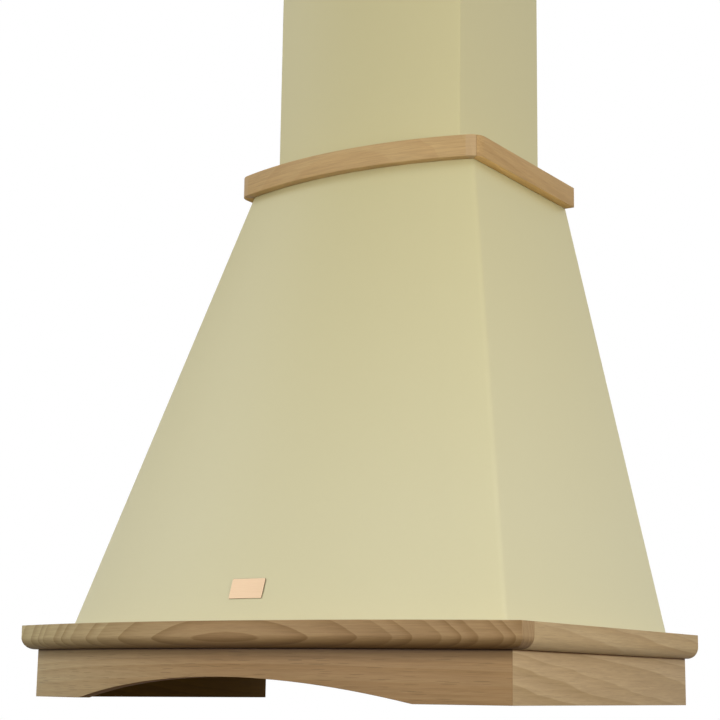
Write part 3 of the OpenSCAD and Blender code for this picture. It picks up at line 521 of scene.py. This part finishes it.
frame_metal = metal("filter_frame_metal", (0.66, 0.665, 0.67, 1), rough=0.36, brushed=0.2, lines_along="Y")
mesh_metal = metal("filter_mesh_metal", (0.70, 0.705, 0.71, 1), rough=0.34, brushed=0.1, lines_along="X")
latch_black = plastic("latch_black", tone(52, 52, 54))

cell_w = 0.0125
cell_d = 0.0063
strand = 0.0011
strand_t = 0.0006
strand_lean = 0.0004
layer_in = 0.0008
folded_edge = 0.0004


def lattice(name, low, high, level, lean):
    """One layer of expanded mesh between two corners: slit sheet pulled open to diamonds that lean."""
    across = math.ceil((high.x - low.x) / cell_w) + 2
    deep = math.ceil((high.y - low.y) / cell_d) + 2
    bpy.ops.object.select_all(action="DESELECT")
    bpy.ops.mesh.primitive_circle_add(vertices=4, radius=0.5, fill_type="NGON",
                                      location=(low.x - cell_w / 2, low.y - cell_d / 2, level))
    layer = bpy.context.object
    layer.name = name
    bpy.ops.object.mode_set(mode="EDIT")
    bpy.ops.transform.resize(value=(cell_w, cell_d, 1))
    bpy.ops.mesh.inset(thickness=strand / 2)
    bpy.ops.mesh.delete(type="FACE")
    bpy.ops.object.mode_set(mode="OBJECT")
    for vertex in layer.data.vertices:
        if abs(vertex.co.x) < hair and abs(vertex.co.y) < cell_d / 2 - hair:
            vertex.co.z += lean if vertex.co.y > 0 else -lean
    for step, count in (((cell_w, 0, 0), across), ((0, cell_d, 0), deep)):
        row = layer.modifiers.new("row", "ARRAY")
        row.count = count
        row.use_relative_offset = False
        row.use_constant_offset = True
        row.constant_offset_displace = step
        bpy.ops.object.modifier_apply(modifier=row.name)
    bpy.ops.object.mode_set(mode="EDIT")
    bpy.ops.mesh.select_all(action="SELECT")
    half_a_cell = (cell_w / 2, cell_d / 2, 0)
    bpy.ops.mesh.duplicate_move(TRANSFORM_OT_translate={"value": half_a_cell})
    bpy.ops.mesh.select_all(action="SELECT")
    bpy.ops.mesh.remove_doubles(threshold=0.0001)
    for point, way in ((low, (-1, 0, 0)), (low, (0, -1, 0)), (high, (1, 0, 0)), (high, (0, 1, 0))):
        bpy.ops.mesh.select_all(action="SELECT")
        bpy.ops.mesh.bisect(plane_co=point, plane_no=way, clear_outer=True)
    bpy.ops.object.mode_set(mode="OBJECT")
    bpy.ops.object.transform_apply(location=True, rotation=True, scale=True)
    wall = layer.modifiers.new("wall", "SOLIDIFY")
    wall.thickness = strand_t
    wall.offset = 0
    bpy.ops.object.modifier_apply(modifier=wall.name)
    return layer


for side in ("left", "right"):
    filter_frame = rounded(copied(side + "_filter"), folded_edge, clamp=True)
    fitted(filter_frame, side + "_filter", "filter_aluminium", frame_metal, side + "_filter")
    low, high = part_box(side + "_filter_mesh")
    lower = lattice(side + "_expanded_mesh", low, high, low.z + layer_in, strand_lean)
    upper = lattice(side + "_upper_layer", low, high, high.z - layer_in, -strand_lean)
    pick(lower, upper)
    bpy.ops.object.join()
    fitted(lower, side + "_filter", "filter_aluminium", mesh_metal, side + "_filter_mesh")
    latch = rounded(copied(side + "_latch"), folded_edge, clamp=True)
    fitted(latch, side + "_catch", "dark_plastic", latch_black, side + "_latch")


# The lamps: two round spotlights let into the pan. Each is a turned steel can with a chromed,
# grooved ring, and a frosted glass with pressed rings that sits in it below the bulb.
turned_fold = math.radians(32)


def turned(name, profile, place, sides=72, solid=False):
    """A turned form: a circle is drawn on through the profile's radii and heights, then closed."""
    bpy.ops.object.select_all(action="DESELECT")
    radius, level = profile[0]
    bpy.ops.mesh.primitive_circle_add(vertices=sides, radius=radius, location=(0, 0, level),
                                      fill_type="NGON" if solid else "NOTHING")
    piece = bpy.context.object
    piece.name = name
    bpy.ops.object.transform_apply(location=True)
    bpy.ops.object.mode_set(mode="EDIT")
    bpy.ops.mesh.select_all(action="SELECT")
    for next_radius, next_level in profile[1:]:
        grown = next_radius / radius
        climb = (0, 0, next_level - level)
        bpy.ops.mesh.extrude_edges_move(TRANSFORM_OT_translate={"value": climb})
        bpy.ops.transform.resize(value=(grown, grown, 1), center_override=(0, 0, next_level))
        radius, level = next_radius, next_level
    if solid:
        bpy.ops.mesh.edge_face_add()
    bpy.ops.mesh.select_all(action="SELECT")
    bpy.ops.mesh.remove_doubles(threshold=1e-6)
    bpy.ops.mesh.normals_make_consistent(inside=False)
    bpy.ops.object.mode_set(mode="OBJECT")
    piece.location = place
    bpy.ops.object.transform_apply(location=True)
    bpy.ops.object.shade_smooth_by_angle(angle=turned_fold)
    return piece


chrome = metal("lamp_chrome", (0.80, 0.80, 0.80, 1), rough=0.14, brushed=0.02, lines_along="X")
glass = Finish(bpy.data.materials.new("frosted_glass"))
frost = glass.noise(glass.stretch(glass.place(), [1300, 1300, 1300]))
frost_bump = glass.node("Bump", {}, {"Strength": 0.3, "Distance": 0.0001, "Height": frost}, "Normal")
glass.end(Base_Color=glass.blend(tone(240, 240, 234), tone(222, 223, 218), frost), Roughness=0.3,
          Coat_Weight=0.6, Coat_Roughness=0.15, Normal=frost_bump)

ring_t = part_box("left_lens")[1].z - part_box("left_lens")[0].z
rim_curve = 0.0008
rim_curve_in = 0.0002
bore_edge = 0.0003
groove_out = 0.0026
groove_w = 0.0014
groove_deep = 0.0004
glass_play = 0.0001
glass_edge = 0.0005
pressed_from = 0.0016
pressed_apart = 0.0031
pressed_rings = 7
pressed_half = 0.0012
pressed_low = 0.0002
pressed_high = 0.0006
for side in ("left", "right"):
    low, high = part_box(side + "_lamp")
    centre = ((low.x + high.x) / 2, (low.y + high.y) / 2, 0)
    rim = (high.x - low.x) / 2
    bore = (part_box(side + "_lens")[1].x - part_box(side + "_lens")[0].x) / 2
    can = bore + ring_t
    seat = low.z + ring_t
    outer = bore + groove_out
    inner = outer - groove_w
    bottom = low.z + groove_deep
    outside = [(rim, seat), (rim, low.z + rim_curve), (rim - rim_curve_in, low.z + bore_edge),
               (rim - rim_curve, low.z)]
    groove = [(outer, low.z), (outer - groove_deep, bottom), (inner + groove_deep, bottom), (inner, low.z)]
    inside = [(bore + bore_edge, low.z), (bore, low.z + bore_edge), (bore, high.z), (can, high.z),
              (can, seat), (rim, seat)]
    ring = turned(side + "_lamp_ring", outside + groove + inside, centre)
    fitted(ring, "hood", "lamp_chrome", chrome, side + "_lamp")
    low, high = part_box(side + "_lens")
    edge = bore - glass_play
    profile = [(edge, high.z), (edge, low.z + glass_edge), (edge - glass_edge, low.z)]
    for step in range(pressed_rings):
        radius = edge - pressed_from - pressed_apart * step
        profile += [(radius, low.z + pressed_low), (radius - pressed_half, low.z + pressed_high),
                    (radius - 2 * pressed_half, low.z + pressed_low)]
    disc = turned(side + "_lamp_glass", profile, centre, solid=True)
    fitted(disc, "hood", "lamp_glass", glass.owner, side + "_lens")


# The switches: a moulded plate under the pan with a case above it, and five push buttons, one for
# the light, one that stops the fan and three for its speeds.
switch_black = plastic("switch_black", tone(44, 44, 46), rough=0.38)
button_black = plastic("button_black", tone(30, 30, 32), rough=0.3, grain=0.12)
pip_white = plastic("pip_white", tone(214, 214, 208), rough=0.35, grain=0.1)
switch_edge = 0.0003
button_edge = 0.0004
finger_rim = 0.0016
finger_dish = 0.0005
pip_r = 0.0007
light_pip_r = 2.6 * pip_r
pip_apart = 1.6 * pip_r
pip_root = 0.0002
pip_tall = 0.0004
pip_crown = ((1, 0.25), (0.7, 0.75), (0.3, 1))
pips = {"light": (0,), "stop": (), "low": (0,), "medium": (-1, 1), "high": (-2, 0, 2)}
fitted(rounded(copied("switch_box"), switch_edge), "hood", "dark_plastic", switch_black, "switch_box")
for name, spots in pips.items():
    button = copied(name + "_button")
    pick(button)
    bpy.context.tool_settings.mesh_select_mode = (False, False, True)
    bpy.ops.object.mode_set(mode="EDIT")
    bpy.ops.mesh.select_all(action="DESELECT")
    bpy.ops.object.mode_set(mode="OBJECT")
    low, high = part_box(name + "_button")
    for face in button.data.polygons:
        face.select = face.normal.z < -0.9 and face.center.z < low.z + hair
    bpy.ops.object.mode_set(mode="EDIT")
    bpy.ops.mesh.inset(thickness=finger_rim)
    bpy.ops.mesh.inset(thickness=finger_rim)
    bpy.ops.transform.translate(value=(0, 0, finger_dish))
    bpy.ops.object.mode_set(mode="OBJECT")
    rounded(button, button_edge, sharp=50)
    fitted(button, name + "_button", "dark_plastic", button_black, name + "_button")
    face_middle = (low + high) / 2
    dish = low.z + finger_dish
    pip_wide = light_pip_r if name == "light" else pip_r
    profile = [(pip_wide, dish + pip_root)]
    profile += [(share * pip_wide, dish - height * pip_tall) for share, height in pip_crown]
    for order, across in enumerate(spots):
        spot = (face_middle.x + across * pip_apart, face_middle.y, 0)
        pip = turned("%s_pip_%d" % (name, order), profile, spot, sides=24, solid=True)
        fitted(pip, name + "_button", "grey_plastic", pip_white)


# The dome: steel sheet bent to a bowed front and two straight sides that lean in as they rise,
# with soft corners, sprayed cream. Its flanges are screwed to the shelf.
dome = copied("dome_shell", flat=0)
pick(dome)
bpy.ops.object.shade_smooth_by_angle(angle=fold)
fitted(dome, "hood", "cream_paint", cream, "dome_shell")


# The belt: three narrow beech boards round the top of the dome. The side boards are straight, the
# front one is sawn to the dome's bow, and their outer corners are rounded over.
belt_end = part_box("front_belt")[1].x
belt_corner = 0.010
belt_wood = beech("beech_belt_front", tone(185, 157, 111), tone(183, 154, 108), tone(180, 150, 104),
                  cut=(0, 1, 0.2), ring=0.011, sway=1.0, grain="XY", end_x=belt_end - belt_corner,
                  end_tone=tone(190, 164, 130))
# The side boards of the belt get painted light on the faces that look down.
belt_side_wood = beech("beech_belt_sides", tone(184, 152, 103), tone(181, 149, 100), tone(176, 143, 94),
                       cut=(0.3, 0.1, 1), ring=0.012, sway=1.4, grain="Y", painted_underside=(1.65, 1.75, 1.8, 1))
mitre_least = 0.004


def along_the_belt(a, b):
    """True for an edge that runs along the belt's top or underside, but not across a mitre."""
    level = abs(a.z - b.z) < hair
    slanted = abs(a.x - b.x) > 10 * hair and abs(a.y - b.y) > 0.6 * abs(a.x - b.x)
    return level and not (slanted and (a - b).length > mitre_least)


woods = {"front_belt": belt_wood, "left_belt": belt_side_wood, "right_belt": belt_side_wood}
for side, wood in woods.items():
    fitted(eased(copied(side), soft_edge, 2, along_the_belt), "hood", "wood", wood, side)


# The duct covers: two folded steel sheets, sprayed as the dome. The upper one stands inside the
# lower one and slides up to the ceiling, and both are held by zinc-plated brackets on the wall.
zinc = metal("zinc_plate", (0.56, 0.575, 0.60, 1), rough=0.36, brushed=0.12, lines_along="Z")
for name, body in (("lower_chimney", "hood"), ("upper_chimney", "upper_cover")):
    cover = copied(name, flat=0)
    pick(cover)
    bpy.ops.object.shade_smooth_by_angle(angle=fold)
    fitted(cover, body, "cream_paint", cream, name)
lower_bracket = rounded(copied("chimney_bracket"), sheet_edge, clamp=True)
fitted(lower_bracket, "hood", "zinc", zinc, "chimney_bracket")
upper_bracket = rounded(copied("upper_bracket"), sheet_edge, clamp=True)
fitted(upper_bracket, "upper_cover", "zinc", zinc, "upper_bracket")


# The plate: a small bare plate of polished and lacquered copper, cut from sheet, so that its edges
# are dull and dark, with tarnish and painted shade on them. It is glued on the front of the dome, low down
# at the left.
copper = Finish(bpy.data.materials.new("polished_copper"))
hairs = copper.noise(copper.stretch(copper.place(), [40, 2200, 2200]), 2.0, 0.6)
facing = copper.node("SeparateXYZ", {}, {0: copper.node("NewGeometry", {}, {}, "Normal")}, "Y")
cut_edge = facing > -0.8
polish = copper.blend((0.68, 0.495, 0.325, 1), (0.57, 0.405, 0.26, 1), hairs)
# The cut edges are darkened with tarnish together with painted shade.
tarnish_and_shade = (0.10, 0.065, 0.04, 1)
hair_bump = copper.node("Bump", {}, {"Strength": 0.05, "Distance": 0.0001, "Height": hairs}, "Normal")
copper.end(Base_Color=copper.blend(polish, tarnish_and_shade, cut_edge), Metallic=1.0,
           Roughness=0.32 + cut_edge * 0.3, Normal=hair_bump)
plate = rounded(copied("nameplate"), sheet_edge, clamp=True)
fitted(plate, "hood", "copper", copper.owner, "nameplate")


# The back panel and the blower: zinc-coated sheet, a folded scroll casing with a double-inlet
# wheel, a motor that hangs in the right inlet on three arms, and two bent legs.
def galvanised(name):
    """Steel sheet dipped in zinc, which sets in flat crystals a few millimetres across."""
    sheet = Finish(bpy.data.materials.new(name))
    place = sheet.place()
    crystal = sheet.stretch(place, [125, 125, 125])
    wavy = sheet.noise(sheet.stretch(place, [260, 260, 260]))
    bent = sheet.node("VectorMath", {"operation": "ADD"}, {0: crystal, 1: wavy})
    crystals = sheet.node("TexVoronoi", {"feature": "F1"}, {"Vector": bent, "Scale": 1.0}, "Color")
    facing = sheet.node("SeparateColor", {}, {0: crystals}, 0)
    cloud = sheet.noise(sheet.stretch(place, [14, 14, 14]), 3.0)
    dull = (0.40, 0.415, 0.43, 1)
    bright = (0.58, 0.595, 0.61, 1)
    shade = sheet.blend(dull, bright, facing * 0.7 + cloud * 0.3)
    rough = 0.34 + facing * 0.14 + cloud * 0.08
    return sheet.end(Base_Color=shade, Metallic=1.0, Roughness=rough)


dipped = galvanised("galvanised_sheet")
for name in ("back_panel", "blower_bracket", "scroll_casing"):
    fitted(rounded(copied(name), sheet_edge, clamp=True), "hood", "zinc", dipped, name)

motor_grey = metal("motor_steel", (0.36, 0.365, 0.38, 1), rough=0.4, brushed=0.15, lines_along="X")
cut_fold = math.radians(30)
motor_edge = 0.0008
vent_count = 9
vent_out = 0.021
vent_size = (0.0030, 0.0042, 0.0130)
vent_edge = 0.0009
motor = rounded(copied("motor"), motor_edge, clamp=True)
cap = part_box("motor")[1].x
wheel_low, wheel_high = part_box("impeller")
shaft = (wheel_low + wheel_high) / 2
vents = []
for order in range(vent_count):
    bpy.ops.object.select_all(action="DESELECT")
    bpy.ops.mesh.primitive_cube_add(size=1)
    vent = bpy.context.object
    bpy.ops.object.mode_set(mode="EDIT")
    bpy.ops.transform.resize(value=vent_size)
    bpy.ops.mesh.bevel(offset=vent_edge, segments=2, affect="EDGES")
    bpy.ops.object.mode_set(mode="OBJECT")
    angle = 2 * math.pi * order / vent_count
    vent.rotation_euler.x = -angle
    vent.location = (cap, shaft.y + vent_out * math.sin(angle), shaft.z + vent_out * math.cos(angle))
    vents.append(vent)
pick(*vents)
bpy.ops.object.join()
slots = motor.modifiers.new("slots", "BOOLEAN")
slots.operation = "DIFFERENCE"
slots.object = vents[0]
pick(motor)
bpy.ops.object.modifier_apply(modifier=slots.name)
bpy.data.objects.remove(vents[0])
bpy.ops.object.shade_smooth_by_angle(angle=cut_fold)
fitted(motor, "hood", "motor_steel", motor_grey, "motor")

wheel_black = plastic("wheel_black", tone(60, 61, 64))
wheel = copied("impeller")
pick(wheel)
bpy.ops.object.shade_smooth_by_angle(angle=fold)
fitted(wheel, "fan_wheel", "dark_plastic", wheel_black, "impeller")


# The duct collar and its flaps: a moulded spigot on the blower's outlet with a pin across it, and
# two half-moon flaps that the air lifts and that fall shut on a ledge.
flap_grey = plastic("flap_grey", tone(196, 196, 192), rough=0.4)
collar_edge = 0.0004
flap_edge = 0.0002
collar = rounded(copied("duct_collar"), collar_edge, clamp=True)
fitted(collar, "hood", "dark_plastic", switch_black, "duct_collar")
for side in ("front_flap", "rear_flap"):
    fitted(rounded(copied(side), flap_edge, clamp=True), side, "grey_plastic", flap_grey, side)


# The junction box: moulded plastic on the back panel, with a lid in front and a cable gland that
# waits for the mains lead underneath.
box_grey = plastic("box_grey", tone(206, 206, 202), rough=0.45)
box_edge = 0.0006
lid_edge = 0.0005
gland_edge = 0.0004
box = rounded(copied("junction_box"), box_edge, clamp=True)
fitted(box, "hood", "grey_plastic", box_grey, "junction_box")
lid = rounded(copied("box_lid"), lid_edge, clamp=True)
fitted(lid, "hood", "grey_plastic", box_grey, "box_lid")
gland = rounded(copied("cable_gland"), gland_edge, clamp=True)
fitted(gland, "hood", "dark_plastic", switch_black, "cable_gland")


# The screws: zinc-plated steel with rounded heads and a cross recess, which hold the dome and the
# pan to the shelf, the panel to the dome, the cover to the dome and the blower to the panel.
least_head_area = 32e-6
head_curve = 0.0011
slot_long = 0.0036
slot_wide = 0.0009
slot_deep = 0.0011
slot_point = (0.45, 0.6, 1)


def cross_cutter(place, way):
    """Two crossed wedges, which stand with their points in a screw's head."""
    arms = []
    for quarter in (0, 1):
        bpy.ops.object.select_all(action="DESELECT")
        bpy.ops.mesh.primitive_cube_add(size=1)
        arm = bpy.context.object
        bpy.ops.object.mode_set(mode="EDIT")
        bpy.ops.transform.resize(value=(slot_long, slot_wide, 2 * slot_deep))
        bpy.ops.mesh.select_all(action="DESELECT")
        bpy.ops.object.mode_set(mode="OBJECT")
        for face in arm.data.polygons:
            face.select = face.normal.z < -0.9
        bpy.ops.object.mode_set(mode="EDIT")
        bpy.ops.transform.resize(value=slot_point, center_override=(0, 0, -slot_deep))
        bpy.ops.object.mode_set(mode="OBJECT")
        arm.rotation_euler.z = quarter * math.pi / 2
        arms.append(arm)
    pick(*arms)
    bpy.ops.object.transform_apply(rotation=True)
    union = arms[0].modifiers.new("both", "BOOLEAN")
    union.operation = "UNION"
    union.object = arms[1]
    bpy.ops.object.modifier_apply(modifier=union.name)
    bpy.data.objects.remove(arms[1])
    arms[0].rotation_mode = "QUATERNION"
    arms[0].rotation_quaternion = way.to_track_quat("Z", "Y")
    arms[0].location = place
    return arms[0]


for name in ("dome_screws", "pan_screws", "panel_screws", "chimney_screws", "blower_screws"):
    screws = copied(name)
    tops = [(face.center.copy(), face.normal.copy(), set(face.vertices))
            for face in screws.data.polygons if face.area > least_head_area]
    pick(screws)
    bpy.context.tool_settings.mesh_select_mode = (False, True, False)
    bpy.ops.object.mode_set(mode="EDIT")
    bpy.ops.mesh.select_all(action="DESELECT")
    bpy.ops.object.mode_set(mode="OBJECT")
    for line in screws.data.edges:
        line.select = any(set(line.vertices) <= around for _, _, around in tops)
    bpy.ops.object.mode_set(mode="EDIT")
    bpy.ops.mesh.bevel(offset=head_curve, segments=4, affect="EDGES")
    bpy.ops.object.mode_set(mode="OBJECT")
    cutters = [cross_cutter(place, way) for place, way, _ in tops]
    pick(*cutters)
    bpy.ops.object.join()
    recess = screws.modifiers.new("recess", "BOOLEAN")
    recess.operation = "DIFFERENCE"
    recess.object = cutters[0]
    pick(screws)
    bpy.ops.object.modifier_apply(modifier=recess.name)
    bpy.data.objects.remove(cutters[0])
    bpy.ops.object.shade_smooth_by_angle(angle=cut_fold)
    fitted(screws, "hood", "zinc", zinc, name)


# The end: colours are shown as they are written.
bpy.context.scene.view_settings.view_transform = "Standard"
